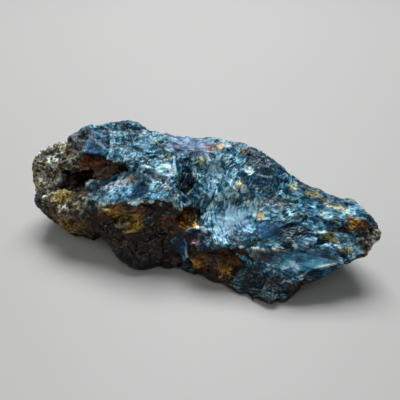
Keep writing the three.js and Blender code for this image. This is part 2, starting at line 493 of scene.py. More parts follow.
def crust(surface, mask):
    """Rounded grains, where the mask is."""
    coarse = GRAIN_DEPTHS[0] * sampled(grain, surface.points, GRAIN_SIZES[0])
    fine = GRAIN_DEPTHS[1] * sampled(grain, surface.points, GRAIN_SIZES[1], GRAIN_SHIFT)
    surface.push((GRAIN_RISE - coarse - fine) * mask, 2)


def fit(surface):
    """Scales the lump so that its box is the CAD's, and keeps it on the floor."""
    low, high = np.array(CAD_BOX) / MM
    surface.points[:, 2] = np.maximum(surface.points[:, 2], 0)
    least, most = surface.points.min(axis=0), surface.points.max(axis=0)
    surface.points = low + (surface.points - least) * (high - low) / (most - least)


def chip(surface, rng, rough, broken):
    """Breaks flakes of every kind off the surface.

    Returns each point's shade, and the middles of its medium flake and its small one.
    """
    finer = rough * (1 - SMALL_LOST * broken)
    flakes(surface, rng, "broken", broken * rough)
    large, _ = flakes(surface, rng, "large", LARGE_KEPT + (1 - LARGE_KEPT) * rough)
    medium, home = flakes(surface, rng, "medium", finer)
    small, near = flakes(surface, rng, "small", finer)
    shade = sum(weight * kind for weight, kind in zip(SHADE_WEIGHTS, (large, medium, small)))
    return shade, home, near


def blunt(surface):
    """Smooths only what stands out too sharply."""
    for _ in range(BLUNT_PASSES):
        surface.relax(BLUNT_ROUNDS, surface.sharpness() > SHARPEST)


def sculpted_lump():
    mesh = blocked_out(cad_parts["rough_amber"])
    surface = Surface(mesh)
    surface.relax(SETTLING)
    surface.relax(BOWL_SETTLING, falloff(surface.points, *BOWL))
    warp(surface)
    calm = region(surface.points, CALM)
    nodule = np.clip(REGION_FULLNESS * falloff(surface.points, *NODULE), 0, 1)
    crusted = region(surface.points, CRUST) * (1 - nodule)
    rough = 1 - CALMING * calm
    rng = np.random.default_rng(SEED)
    shade, home, near = chip(surface, rng, rough, region(surface.points, BROKEN))
    coordinates = flow(surface.points)
    hackle = sampled(ridged, coordinates, 1.0)
    surface.push(HACKLE_DEPTH * hackle * (1 - crusted) * rough, 3)
    lines = sum(crease(surface, *line) for line in CREASES)
    crust(surface, crusted)
    blunt(surface)
    fit(surface)
    surface.write()
    for polygon in mesh.polygons:
        polygon.use_smooth = True
    place = FOLLOWING[0] * home + FOLLOWING[1] * near + FOLLOWING[2] * surface.points
    light = light_and_dark(surface, place, shade * (1 - SHADE_CALMING * calm), hackle, lines)
    paint(surface, place, light, lines, {"calm": calm, "crust": crusted, "flow": coordinates})
    return mesh


# ---- masks

# How light the colour is before the places below, and how much each cause adds to it. The sky, edge and
# lines causes are painted light and shade: lighter where more sky is seen, on sharp edges and raised
# ridges, darker in hollows and cracks.
BASE_TONE = 0.29
TONE_WEIGHTS = {"sky": 0.2, "shade": 0.36, "broad": 0.12, "hackle": 0.08, "lines": 0.3, "edge": 0.12}
# How much lighter (+) or darker (-) each place is: centre, radii and amount. Most of it is painted light
# and shade, some the amber's own lighter and darker patches.
LIGHT_SHADE_AND_TONE_PLACES = [
    # Head.
    ((-57, -2, 20), (14, 18, 18), 0.22),
    ((-54.5, -9.5, 18.5), (5, 6, 6), 0.4),
    ((-57.8, -8.5, 18), (5, 5, 5), 0.5),
    ((-55, -12, 16.5), (4, 4, 4), 0.3),
    ((-42, -17, 9), (12, 8, 9), 0.15),
    # Cave: lightened inside as painted light, where little light reaches.
    ((-38, 1, 25), (14, 9, 8), 0.6),
    ((-37.8, -1.7, 29.6), (6, 5, 4), -0.4),
    ((-38.2, -3, 25), (4, 4, 4), 0.3),
    ((-36, -11, 21), (4, 4, 3), -0.2),
    # Dome.
    ((-45, 2, 32), (8, 8, 7), -0.1),
    ((-41, -2.6, 30.2), (5, 4, 3), 0.35),
    ((-43, 2, 34.5), (6, 6, 5), 0.25),
    ((-36, 0.5, 34.5), (5, 5, 4), -0.3),
    ((-37, -2.2, 33.6), (2.8, 2.4, 2), 0.5),
    ((-23.5, 3.2, 34), (5, 4, 3), -0.25),
    ((-15.9, 3.2, 33), (5, 4, 4), 0.35),
    ((-31.4, 8.6, 37.8), (5, 4, 4), 0.25),
    ((-30, -3.5, 31), (4, 3, 3), 0.3),
    ((-21, -4.5, 31.5), (4, 4, 3), -0.2),
    # Shelf.
    ((-17, -8, 27), (17, 9, 6), 0.2),
    ((-11, -3, 30), (7, 8, 6), 0.25),
    ((-26, -8, 25), (5, 5, 3), 0.3),
    ((-15.6, -10, 26.5), (4.5, 4, 3), -0.6),
    ((-7.7, -1, 31), (3, 11, 6), 0.05),
    ((-30, -16, 20), (4, 3, 3), 0.25),
    # Plateau.
    ((-5, 12, 34), (13, 7, 5), 0.03),
    ((-5.8, 6.8, 32.8), (3.5, 4, 3), 0.35),
    ((-3, 4.5, 30.5), (4, 4, 4), 0.3),
    ((-1, 6.6, 32), (4, 4, 4), 0.2),
    # Gully: darker down its hollow as painted shade.
    ((-2.5, 1, 25), (4, 10, 7), -0.35),
    ((-3.3, 4, 27.5), (3, 6, 5), -0.25),
    ((2.2, -2.8, 23), (3, 4, 4), 0.35),
    ((-0.4, -7.7, 20.5), (3, 3, 3), 0.25),
    # Chute: lightened as painted light.
    ((5.5, 4, 28), (4.5, 12, 8), 0.5),
    ((5.3, 4.5, 27.7), (3, 5, 4), 0.2),
    ((6, 7, 29.6), (4, 4, 4), 0.3),
    ((1.4, 8.7, 33.8), (3, 4, 3), -0.2),
    ((11.5, 8, 30.5), (4, 5, 4), -0.15),
    ((11, -1.5, 24), (4, 4, 4), 0.3),
    # Bowl: lightened as painted light, and darker in its hole as painted shade.
    ((14, -7, 18), (14, 11, 9), 0.32),
    ((16, -6, 19.5), (7, 5, 5), 0.35),
    ((15.1, -7.5, 18.6), (4, 4, 4), 0.2),
    ((13.5, -9, 16.8), (5, 5, 4), 0.15),
    ((18.5, -11.5, 15.8), (6, 4, 4), -0.6),
    ((21.5, -7.5, 18.5), (4, 4, 4), 0.3),
    ((11, -5.5, 19.8), (3, 3, 3), -0.4),
    # Bump.
    ((14.5, 0, 27), (6, 4, 4), 0.45),
    # Shoulder.
    ((24, 7, 30), (12, 11, 8), -0.2),
    ((24, 3, 28), (5, 5, 4), -0.15),
    ((19.5, 11.5, 32.5), (7, 4, 4), -0.3),
    ((18.1, 6.1, 30.3), (3, 3, 3), 0.5),
    ((20.5, -1, 25.5), (4, 4, 4), 0.4),
    # Saddle.
    ((27, -0.5, 24), (7, 4, 4), 0.15),
    ((41.5, -6.7, 20.2), (4, 3, 3), -0.2),
    ((24, -3, 22), (6, 6, 5), 0.35),
    ((26.5, -2.8, 22.3), (3, 4, 3), -0.2),
    ((32, -1.5, 23.5), (5, 4, 4), 0.3),
    ((31, -9.5, 18.5), (9, 4, 4), -0.3),
    ((36, -8, 19.8), (7, 4, 3.5), -0.35),
    ((32, -7, 19.5), (5, 4, 3), -0.2),
    ((27.9, -8.7, 19.2), (3.5, 3, 3), 0.2),
    # Beak.
    ((46, 10, 23), (16, 5, 6), -0.15),
    ((36, 8, 27), (6, 6, 4), -0.2),
    ((32.6, 6.8, 27.5), (3, 3, 3), 0.3),
    ((39.4, 6.2, 26.4), (3, 3, 3), 0.3),
    ((46, 1, 23.5), (11, 7, 5), 0.15),
    ((40.9, 3.4, 24.6), (4, 3, 3), 0.3),
    ((48, -2.5, 22.4), (4, 2, 2), 0.3),
    ((50, -4.5, 18), (7, 5, 5), 0.25),
    # Painted light in the hollow beside the slit.
    ((46, -4.4, 19.6), (6, 4, 3), 0.7),
    ((51, -5, 17.5), (4, 4, 3), 0.4),
    ((48.7, -6, 16.4), (4, 3, 3), 0.5),
    ((56.5, -3.5, 16), (7, 5, 6), 0.35),
    ((56, -5, 14), (4, 4, 3), 0.3),
    ((60.5, -1.5, 18.5), (4, 4, 5), 0.4),
    ((62, 0, 17), (9, 9, 9), -0.3),
    # Teal facet, with a painted highlight.
    ((40.5, -12.6, 13), (11, 6, 5), 0.14),
    ((37.7, -15.2, 11.6), (4, 3, 3), 0.4),
    ((39.3, -16.5, 9.5), (4, 3, 2), 0.3),
    ((42.5, -15.5, 10), (9, 3, 1.6), -0.5),
    ((26.5, -15.5, 13.6), (8, 4, 3), -0.1),
    # Foot.
    ((28, -20, 5), (12, 8, 8), -0.3),
    # Front wall.
    ((-3, -13, 17.5), (6, 5, 5), -0.15),
    # Triangle.
    ((-2, -15.5, 11), (3, 4, 4), -0.2),
    ((2.4, -15.5, 9), (1.8, 4, 5), 0.5),
    ((1.8, -15.8, 6.4), (2.2, 4, 3), 0.4),
    ((4, -16, 8), (3, 4, 4), 0.2),
    ((5, -15.5, 7), (3, 4, 4), 0.3),
    ((9, -14, 14.5), (3, 3, 4), -0.4),
    # Undercut.
    ((13, -14, 9), (6, 5, 4), -0.25),
    ((16.5, -17.5, 3.8), (4, 4, 3), 0.4),
    # Back: painted shade over the side that the window lamp lights, with lighter patches.
    ((0, 25, 14), (80, 13, 20), -0.3),
    ((12, 22, 24), (9, 8, 7), 0.25),
    ((-24, 21, 29), (8, 7, 6), 0.25),
    ((38, 16, 18), (8, 8, 5), 0.2),
]

# Colours of the stains, at their lightest, with how clear the resin is there, 0 to 1. Most are the
# amber's own; a few stand in for light or shade, as marked in STAINS.
PALETTE = {
    "umber": ((0.40, 0.24, 0.10), 0),
    "taupe_and_painted_light": ((0.46, 0.35, 0.27), 0),
    "olive": ((0.32, 0.33, 0.14), 0.1),
    "slate": ((0.040, 0.036, 0.042), 0.1),
    "ink": ((0.15, 0.21, 0.25), 0),
    "ash": ((0.26, 0.30, 0.35), 0),
    "rust": ((0.40, 0.13, 0.05), 0.4),
    "amber": ((0.72, 0.42, 0.05), 0.3),
    "lilac": ((0.34, 0.52, 0.78), 0),
    "azure": ((0.11, 0.37, 0.72), 0),
    "sky": ((0.34, 0.62, 0.86), 0),
    "pearl": ((0.60, 0.72, 0.80), 0),
    "cream": ((0.86, 0.92, 0.78), 0),
    "ochre": ((0.60, 0.44, 0.14), 0),
    "lemon": ((0.80, 0.82, 0.48), 0.1),
    "gold": ((0.78, 0.60, 0.32), 0.1),
    "orange": ((0.80, 0.38, 0.05), 0.2),
    "plum": ((0.22, 0.16, 0.22), 0.2),
    "jet_and_shade": ((0.05, 0.05, 0.06), 0),
}
# The stain colour of the painted highlight on raised ridges, and how fully it covers them.
RIDGE_HIGHLIGHT_STAIN = "cream"
RIDGE_HIGHLIGHT_COVER = 1.4
# Where each is: centre, radius or radii, and how much of the place it covers, 0 to 1.
# Later ones lie on top.
STAINS = [
    # Left wall.
    ("umber", (-42, -17, 8), (14, 9, 10), 0.9),
    ("amber", (-45.3, -15.7, 7.5), 4, 0.8),
    # Cave.
    # Painted light: a lighter brown to make up for the light that does not reach inside the cave.
    ("taupe_and_painted_light", (-38, 0, 25), (14, 9, 6), 1),
    ("rust", (-37.8, -1.7, 28.4), (6, 5, 5.5), 1),
    # Undercut.
    ("rust", (12, -14.6, 8.5), (12, 6, 6), 1),
    ("plum", (6.5, -15, 13.5), (4.5, 3.5, 4.5), 1),
    ("azure", (0, -15.6, 10), (4, 3, 4.5), 0.8),
    ("orange", (7.2, -16.2, 5.4), 4, 1),
    ("orange", (5, -15.5, 7.4), 3.2, 0.9),
    ("orange", (15.8, -15.2, 5), 5, 1),
    # Front wall.
    ("slate", (-16, -19, 4), (15, 8, 7), 0.6),
    ("rust", (-27, -17, 18), (8, 4, 4), 0.9),
    ("rust", (-19, -14.5, 20.8), (11, 4, 3.5), 0.9),
    ("rust", (-2.7, -12.8, 17.4), (7, 6, 6), 1),
    ("amber", (-18.5, -15.5, 16.8), (8, 6, 6), 0.8),
    ("amber", (-21.5, -16.5, 17.8), (5, 5, 4), 0.9),
    ("lemon", (-21.9, -15.7, 14.4), (3.4, 2.4, 1.4), 0.6),
    ("orange", (-25, -16.4, 20.5), 2, 0.9),
    ("orange", (0.6, -9, 16), 5.5, 1),
    ("orange", (1.5, -11.5, 17.5), 2.4, 0.9),
    # Head.
    ("ochre", (-45.2, -13.2, 19.7), 5, 1),
    ("ochre", (-60, -6, 20), (5, 8, 8), 0.5),
    ("ochre", (-50, -16, 9), 5, 0.6),
    ("lemon", (-52.1, 3.1, 29.8), 4, 0.7),
    ("lemon", (-52.8, -12.6, 17.6), 4, 0.7),
    ("orange", (-61, 1, 26), 2.5, 0.8),
    ("jet_and_shade", (-57.2, -12, 14), (4, 4.5, 6), 1),
    # Dome.
    ("ash", (-43, 2, 34.5), (7, 7, 6), 0.7),
    ("azure", (-36, 0.4, 34.6), (5.4, 5.4, 4.4), 1),
    ("lemon", (-17.6, 7.5, 34), 2.4, 0.7),
    # Shelf.
    ("pearl", (-7.5, -1, 31), (2.2, 9, 5), 0.45),
    ("pearl", (-22.8, -6.5, 26.5), (4, 4, 3), 0.8),
    ("pearl", (-27, -8.5, 24.5), (5, 4, 3), 0.7),
    ("pearl", (-12.5, -4.3, 29), 3, 0.7),
    ("cream", (-2.6, -10.2, 23), 2.4, 0.7),
    ("pearl", (-7.7, -7.5, 28), 3, 0.7),
    ("lemon", (-28.2, -16.6, 21), 3.2, 0.9),
    ("lemon", (-12.1, -0.7, 30.7), 2.2, 0.7),
    ("lemon", (-1.2, -10.4, 22.4), 2.2, 0.7),
    ("orange", (-19.4, -5.7, 27.4), 2, 0.9),
    ("azure", (-15.6, -10, 26.5), (4, 3.6, 3), 0.9),
    # Plateau.
    ("lilac", (-5, 12, 34), (14, 8, 6), 0.75),
    ("cream", (-10.4, 3.5, 32.6), 2.6, 0.6),
    ("lemon", (0.6, 6.6, 31.6), 2.4, 0.7),
    ("rust", (2.2, 10.9, 34.3), 2, 0.8),
    ("gold", (5.7, 12.6, 34), 2.6, 0.7),
    # Shoulder.
    ("azure", (22, 8, 30), (12, 10, 8), 0.3),
    ("cream", (18.1, 6.1, 30.3), 2.5, 0.6),
    ("orange", (14.2, 13.5, 34.1), 2, 0.8),
    # Bowl.
    ("sky", (15, -7.5, 18), (11, 8, 8), 0.5),
    ("sky", (5.5, 4, 28), (4, 9, 7), 0.5),
    ("pearl", (14.5, 0, 27), (4.5, 4, 3.5), 0.35),
    ("lemon", (16.1, 0.6, 28.1), 2.4, 0.7),
    # Painted shade in the bowl's hole and under the gully's foot.
    ("jet_and_shade", (10.6, -5.5, 19.8), 1.8, 0.9),
    ("jet_and_shade", (2, -6, 18.5), (3.5, 3.5, 2.5), 0.9),
    # Saddle.
    ("azure", (29, -7, 19), (9, 5, 4), 0.45),
    ("pearl", (28, -0.8, 24.4), (6, 3, 3), 0.6),
    ("cream", (23.6, -4.2, 21.4), 3.2, 0.6),
    ("gold", (24.4, -4.8, 20.8), 1.7, 0.6),
    ("azure", (27.9, -8.7, 19.2), (3.6, 3.2, 3), 0.9),
    # Foot.
    ("ink", (28, -20, 5), (12, 8, 8), 0.6),
    # Teal facet.
    ("azure", (41, -12.6, 13), (14, 7, 6), 0.15),
    # Painted highlight on the teal facet.
    ("pearl", (37.7, -15.2, 11.6), 2.6, 0.5),
    ("ash", (26.5, -15.5, 13.6), (6, 3, 2.4), 0.7),
    # Beak.
    ("lemon", (32.6, 6.8, 27.5), 2.2, 0.7),
    ("lemon", (39.6, 6, 26.4), (2.6, 1.7, 2.2), 0.7),
    ("gold", (43, 5.6, 25.4), (2.4, 1.8, 2), 0.7),
    ("cream", (45.5, 3.6, 24.6), (6, 2.6, 2.4), 0.5),
    ("lemon", (47.4, 4.2, 24.2), (3.2, 1.8, 2.2), 0.7),
    ("lemon", (50.4, 2.2, 23.8), (2.6, 2.2, 2.4), 0.7),
    ("olive", (46.4, -5.6, 18.6), (4.2, 3.4, 3), 1),
    ("ochre", (45, -6.4, 18.2), 1.8, 0.6),
    ("lemon", (52.9, -5.9, 15.2), (3, 2.4, 2.8), 0.7),
    ("rust", (54.8, -1.4, 21.8), (5, 4, 3.4), 0.8),
    ("orange", (54.1, -0.8, 22.3), (3, 2.6, 2.2), 1),
    # Painted shade in the slit.
    ("jet_and_shade", (49.6, -3.2, 20.2), (3.4, 1.4, 1), 0.9),
    # Back.
    ("umber", (-24, 24, 10), (20, 9, 10), 0.8),
    ("slate", (45, 17, 13), (10, 7, 6), 0.6),
    ("ash", (22, 21, 25), (11, 6, 6), 0.8),
    ("ash", (-32, 22, 29), (10, 6, 5), 0.6),
    ("slate", (4, 22, 18), (9, 7, 6), 0.7),
    ("cream", (-1, 21, 28), 3, 0.6),
    ("rust", (2, 22, 7), (12, 9, 8), 0.9),
    ("amber", (9, 22, 10), (6, 6, 5), 0.9),
    ("rust", (33, 18, 8), (10, 8, 6), 0.8),
    ("ochre", (-30, 22, 18), (6, 6, 5), 0.5),
    ("lemon", (22, 20, 20), 3.4, 0.7),
    ("gold", (-6, 22, 26), 3.4, 0.5),
    ("lemon", (-40, 18, 27), 3.4, 0.7),
]

# Painted shade and painted light: where the brown resin is painted as shade whatever the daylight, and
# where the blue sheen of the lit side is always painted, as in CALM.
SHADED = {
    "front_wall": ((-12, -18, 10), (30, 9, 16), 1),
    "left_wall": ((-40, -17, 8), (16, 9, 13), 1),
    "undercut": ((13, -18, 6), (13, 8, 9), 1),
    "apron": ((5, -14.5, 13.5), (5.5, 4, 5), 1),
    "back_low": ((0, 24, 7), (90, 15, 16), 1),
    "back_head": ((-46, 17, 5), (17, 10, 13), 1),
}
SHEEN = {
    "bowl": ((15, -6, 20), (17, 13, 10), 1),
    "chute": ((5.5, 3, 28), (5, 12, 9), 1),
    "teal_facet": ((41, -12, 12.5), (20, 10, 10), 1),
    "foot": ((28, -20, 6), (11, 6, 7), 0.9),
    "beak": ((47, -4, 18), (12, 8, 8), 0.8),
    "shelf": ((-18, -8, 27), (20, 10, 6), 1),
    "shoulder": ((24, 6, 30), (13, 10, 8), 0.9),
    "lip_end": ((-3, -9.5, 23), (4, 4, 4), 1),
    "triangle": ((-0.3, -15.5, 11), (5, 5, 4), 1),
    "triangle_tip": ((1.2, -15.8, 7), (2.6, 4, 4.5), 1),
}
# Below this much daylight the painted blue sheen starts to give way to the brown of painted shade, and
# this much further down it is gone.
SHEEN_DAYLIGHT = 0.2
SHEEN_FADE = 1 / 7
# Where the daylight of the painted light and shade comes from, how many directions stand for it and how
# far they spread round it.
SKY = Vector((-0.1, 0.5, 0.86))
SKY_SAMPLES = 12
SKY_SPREAD = 0.85
# How far off the surface the search for the sky starts, in millimetres.
OFF_SURFACE = 0.5
# The broad light and dark: how wide, and where in the noise it starts.
BROAD = (9, 3)
# A point that stands out this far, in millimetres, is fully an edge: it gets the full painted highlight,
# and a hollow as deep the full painted shade.
FULL_EDGE = 0.3
# The turn between directions that lie on a spiral with even spacing.
GOLDEN_ANGLE = math.pi * (3 - math.sqrt(5))


def stained(place, lines):
    """The colour of the stains at each point, with how much they cover it and how clear they are. Raised
    ridges start with a painted highlight, and a few stains are painted light or shade.
    """
    colour = np.tile(PALETTE[RIDGE_HIGHLIGHT_STAIN][0], (len(place), 1))
    cover = np.clip(RIDGE_HIGHLIGHT_COVER * lines, 0, 1)
    clear = np.zeros(len(place))
    for name, centre, radius, amount in STAINS:
        tint, clarity = PALETTE[name]
        here = amount * np.clip(STAIN_FULLNESS * falloff(place, centre, radius), 0, 1)
        cover += (1 - cover) * here
        share = here / np.maximum(cover, 1e-6)
        colour += (np.array(tint) - colour) * share[:, None]
        clear += (clarity - clear) * share
    return colour, cover, clear


def daylight(surface):
    """How much of the sky each point faces and sees, 0 to 1: painted light. The blue sheen is painted
    where this is high, the brown of painted shade where it is low, and it lightens the tone.
    """
    mesh = surface.mesh
    tree = BVHTree.FromPolygons([Vector(p) for p in surface.points], [p.vertices for p in mesh.polygons])
    normals = surface.normals(6)
    starts = [Vector(p) for p in surface.points + normals * OFF_SURFACE]
    turn = SKY.to_track_quat("Z", "Y")
    total = np.zeros(len(starts))
    for k in range(SKY_SAMPLES):
        around = k * GOLDEN_ANGLE
        out = SKY_SPREAD * math.sqrt((k + 0.5) / SKY_SAMPLES)
        ray = turn @ Vector((out * math.cos(around), out * math.sin(around), math.sqrt(1 - out * out)))
        facing = np.clip(normals @ ray, 0, 1)
        for i in np.flatnonzero(facing > 0):
            if tree.ray_cast(starts[i], ray)[0] is None:
                total[i] += facing[i]
    return surface.blurred(total / SKY_SAMPLES, 2)


def light_and_dark(surface, place, shade, hackle, lines):
    """How light the colour is at each point, painted light and shade included, with the daylight there
    and how far it is an edge.
    """
    causes = {
        "sky": daylight(surface),
        "shade": shade,
        "broad": sampled(lambda p: noise.fractal(p, 1.0, 2.0, 4), surface.points, *BROAD),
        "hackle": hackle,
        "lines": lines,
        "edge": np.clip(surface.sharpness() / FULL_EDGE, -1, 1),
    }
    tone = BASE_TONE + sum(TONE_WEIGHTS[name] * values for name, values in causes.items())
    for centre, radii, amount in LIGHT_SHADE_AND_TONE_PLACES:
        tone += amount * np.clip(TONE_FULLNESS * falloff(place, centre, radii), 0, 1)
    return {"tone": np.clip(tone, 0, 1), "sky": causes["sky"], "edge": causes["edge"]}


def paint(surface, place, light, lines, masks):
    """Stores what the material needs, one value per vertex."""
    # Painted shade: brown resin where little daylight reaches or SHADED says so; painted blue sheen where
    # SHEEN says so and on raised ridges.
    unlit = np.clip((SHEEN_DAYLIGHT - light["sky"]) / SHEEN_FADE, 0, 1)
    dark = np.maximum(unlit, region(place, SHADED))
    sheen_here = region(surface.points, SHEEN) + np.maximum(lines, 0)
    colour, cover, clear = stained(place, lines)
    masks |= {
        "tone": light["tone"],
        "edge": light["edge"],
        "strands": region(surface.points, STRANDS),
        "shaded": np.clip(dark - sheen_here, 0, 1),
        "stain": colour,
        "cover": cover,
        "clear": clear,
    }
    for name, values in masks.items():
        kind, field = ("FLOAT", "value") if values.ndim == 1 else ("FLOAT_VECTOR", "vector")
        layer = surface.mesh.attributes.new(name, kind, "POINT")
        layer.data.foreach_set(field, values.astype(np.float32).ravel())


# ---- materials

# Sizes of the patterns: waves or cells per metre, and per unit along the hackle.
WAVES = {
    "fine": 1300,
    "grain": 1100,
    "mottle": 450,
    "fleck": 380,
    "grit": 180,
    "edge": 150,
    "saturation": 75,
}
FLOW_WAVES = {"facet": 1.1, "chip": 2.3, "streak": 1.2, "strand": 2.8, "scratch": 2.8}

# Where each pattern starts to show and where it shows fully, on its own scale.
BANDS = {
    "shaded": (0.35, 0.6),
    "crusty": (0.35, 0.7),
    "stain": (0.34, 0.66),
    "spark": (0.88, 0.92),
    "fleck": (0.56, 0.68),
    "ochre": (0.7, 0.9),
    "edge": (0.8, 1.1),
    "scratch": (0.63, 0.7),
}
# How strongly some of them show.
STRENGTHS = {"spark": 0.22, "strand": 1.7, "fleck": 0.45, "ochre": 0.55, "edge": 0.4, "scratch": 0.5}
# How much each pattern of the fracture adds to the lightness.
DETAIL = {"facet": 0.26, "chip": 0.28, "fine": 0.85, "streak": 0.55}

# Colours from dark to light: where each is on the scale of lightness, and the colour.
SHEEN_RAMP = (
    (0.0, (0.003, 0.014, 0.025)),
    (0.25, (0.009, 0.050, 0.088)),
    (0.5, (0.028, 0.125, 0.210)),
    (0.75, (0.13, 0.36, 0.51)),
    (1.0, (0.52, 0.78, 0.88)),
)
FLECK_RAMP = ((0.1, (0.04, 0.045, 0.03)), (0.9, (0.66, 0.68, 0.44)))
RESIN_RAMP = ((0.1, (0.005, 0.003, 0.001)), (0.6, (0.026, 0.010, 0.003)), (1.0, (0.090, 0.050, 0.022)))
GRIT_RAMP = (
    (0.15, (0.010, 0.008, 0.006)),
    (0.4, (0.060, 0.046, 0.030)),
    (0.65, (0.21, 0.19, 0.14)),
    (0.95, (0.58, 0.67, 0.68)),
)
STAIN_RAMP = ((0.1, (0.06, 0.06, 0.06)), (0.5, (0.36, 0.36, 0.36)), (0.9, (1.0, 1.0, 1.0)))
# The ochre between grains, the pale of sharp edges (partly thin amber, partly painted highlight) and the
# scratches.
OCHRE_GRIT = (0.26, 0.17, 0.05, 1)
PALE_EDGE_AND_HIGHLIGHT = (0.50, 0.58, 0.46, 1)
SCRATCH = (0.55, 0.62, 0.54, 1)

# Amber bends light by 1.54. A broken face mirrors less of the room than a polished one.
IOR = 1.54
SPECULAR = 0.14
# How see-through the brown resin is. The stains in PALETTE have their own values.
SHADED_CLEARNESS = 0.25
# How rough the surface is, and how much each cause adds to it.
ROUGHNESS = 0.12
ROUGHER = {"fine": 0.2, "shaded": -0.07, "crusty": 0.4}
# The colour that is left of white light inside the resin, and how fast it is taken out, per metre.
ABSORBED = (0.86, 0.42, 0.08, 1)
ABSORPTION = 130
BUMP_DEPTH = 0.5 * MM
FLOOR_COLOUR = (0.33, 0.32, 0.305, 1)
FLOOR_ROUGHNESS = 0.6


class Nodes:
    """Short calls for building a material's node tree."""

    def __init__(self, tree):
        self.tree = tree
        self.place = self.node("ShaderNodeTexCoord").outputs["Object"]

    def node(self, kind, **inputs):
        made = self.tree.nodes.new(kind)
        for name, value in inputs.items():
            self.set(made.inputs[name], value)
        return made

    def set(self, socket, value):
        if isinstance(value, bpy.types.NodeSocket):
            self.tree.links.new(value, socket)
        else:
            socket.default_value = value

    def mask(self, name, output="Fac"):
        """One of the values that paint() stored on the mesh."""
        made = self.tree.nodes.new("ShaderNodeAttribute")
        made.attribute_name = name
        return made.outputs[output]

    def math(self, operation, *values):
        made = self.tree.nodes.new("ShaderNodeMath")
        made.operation = operation
        for socket, value in zip(made.inputs, values):
            self.set(socket, value)
        return made.outputs[0]

    def times(self, a, b):
        return self.math("MULTIPLY", a, b)

    def shifted(self, value, amount, by):
        """value + amount * (by - 0.5)"""
        return self.math("MULTIPLY_ADD", self.math("SUBTRACT", by, 0.5), amount, value)

    def vector(self, operation, a, b, output="Vector"):
        made = self.tree.nodes.new("ShaderNodeVectorMath")
        made.operation = operation
        self.set(made.inputs[0], a)
        self.set(made.inputs[1], b)
        return made.outputs[output]

    def noise(self, scale, detail=4.0, roughness=0.55, vector=None):
        made = self.node("ShaderNodeTexNoise", Scale=scale, Detail=detail, Roughness=roughness)
        self.set(made.inputs["Vector"], vector or self.place)
        return made.outputs["Fac"]

    def facets(self, scale, vector):
        """Angular cells: a random value for each, another, and its tilted face as a height."""
        cells = self.node("ShaderNodeTexVoronoi", Scale=scale, Vector=vector)
        random = cells.outputs["Color"]
        parts = self.node("ShaderNodeSeparateColor", Color=random).outputs
        offset = self.vector("SUBTRACT", vector, cells.outputs["Position"])
        slope = self.vector("SUBTRACT", random, (0.5, 0.5, 0.5))
        tilt = self.vector("DOT_PRODUCT", slope, offset, "Value")
        return parts[0], parts[1], self.times(tilt, scale)

    def ramp(self, factor, *stops):
        made = self.tree.nodes.new("ShaderNodeValToRGB")
        self.set(made.inputs["Fac"], factor)
        elements = made.color_ramp.elements
        while len(elements) < len(stops):
            elements.new(0.5)
        for element, (at, colour) in zip(elements, stops):
            element.position = at
            element.color = (*colour, 1)
        return made.outputs["Color"]

    def band(self, value, name):
        """How far a pattern shows, with a straight slope from 0 to 1 between the ends of its band."""
        made = self.tree.nodes.new("ShaderNodeMapRange")
        self.set(made.inputs["Value"], value)
        made.inputs["From Min"].default_value, made.inputs["From Max"].default_value = BANDS[name]
        return made.outputs["Result"]

    def mix(self, factor, a, b):
        """Colour a, and b where factor is 1. The numbers are those of the node's colour sockets."""
        made = self.tree.nodes.new("ShaderNodeMix")
        made.data_type = "RGBA"
        self.set(made.inputs["Factor"], factor)
        self.set(made.inputs[6], a)
        self.set(made.inputs[7], b)
        return made.outputs[2]


class Fracture:
    """The pattern that colours and relief share: facets and strands along the hackle, and grain."""

    def __init__(self, n):
        along = n.mask("flow", "Vector")
        self.facet, self.hue, self.slab = n.facets(FLOW_WAVES["facet"], along)
        self.chip, self.spark, self.splinter = n.facets(FLOW_WAVES["chip"], along)
        self.streak = n.noise(FLOW_WAVES["streak"], 5, 0.65, along)
        self.scratch = n.noise(FLOW_WAVES["scratch"], 2, 0.5, along)
        self.fine = n.noise(WAVES["fine"], 5, 0.6)
        self.mottle = n.noise(WAVES["mottle"], 5)
        self.busy = n.math("MULTIPLY_ADD", n.mask("calm"), -0.8, 1.0)
        strand = n.noise(FLOW_WAVES["strand"], 3, 0.6, along)
        self.strand = n.times(n.shifted(0.0, 1.0, strand), n.mask("strands"))


def lightness(n, f):
    """How light the surface is, 0 to 1, with painted glints."""
    detail = 0.0
    for pattern, weight in DETAIL.items():
        detail = n.shifted(detail, weight, getattr(f, pattern))
    # Painted glints: the cells with the highest random value are lightened.
    detail = n.math("MULTIPLY_ADD", n.band(f.spark, "spark"), STRENGTHS["spark"], detail)
    tone = n.math("MULTIPLY_ADD", detail, f.busy, n.mask("tone"))
    return n.math("MULTIPLY_ADD", f.strand, STRENGTHS["strand"], tone)


def sheen(n, f, tone):
    """The painted blue sheen of the lit side, the blue that the resin shows in daylight, with small
    yellow-green flecks.
    """
    blue = n.node("ShaderNodeHueSaturation", Color=n.ramp(tone, *SHEEN_RAMP))
    n.set(blue.inputs["Saturation"], n.shifted(1.04, 0.35, n.noise(WAVES["saturation"], 2)))
    n.set(blue.inputs["Hue"], n.shifted(0.497, 0.04, f.hue))
    # The flecks are placed partly by the same random cells as the painted glints.
    flecks = n.band(n.shifted(n.noise(WAVES["fleck"], 3), 0.3, f.spark), "fleck")
    flecks = n.times(n.times(flecks, f.busy), STRENGTHS["fleck"])
    return n.mix(flecks, blue.outputs["Color"], n.ramp(tone, *FLECK_RAMP))


def resin(n, f, tone):
    """The dark brown that it shows in the shade: the resin's own colour, used as painted shade."""
    return n.ramp(n.shifted(n.shifted(tone, 0.6, f.mottle), 0.3, f.fine), *RESIN_RAMP)


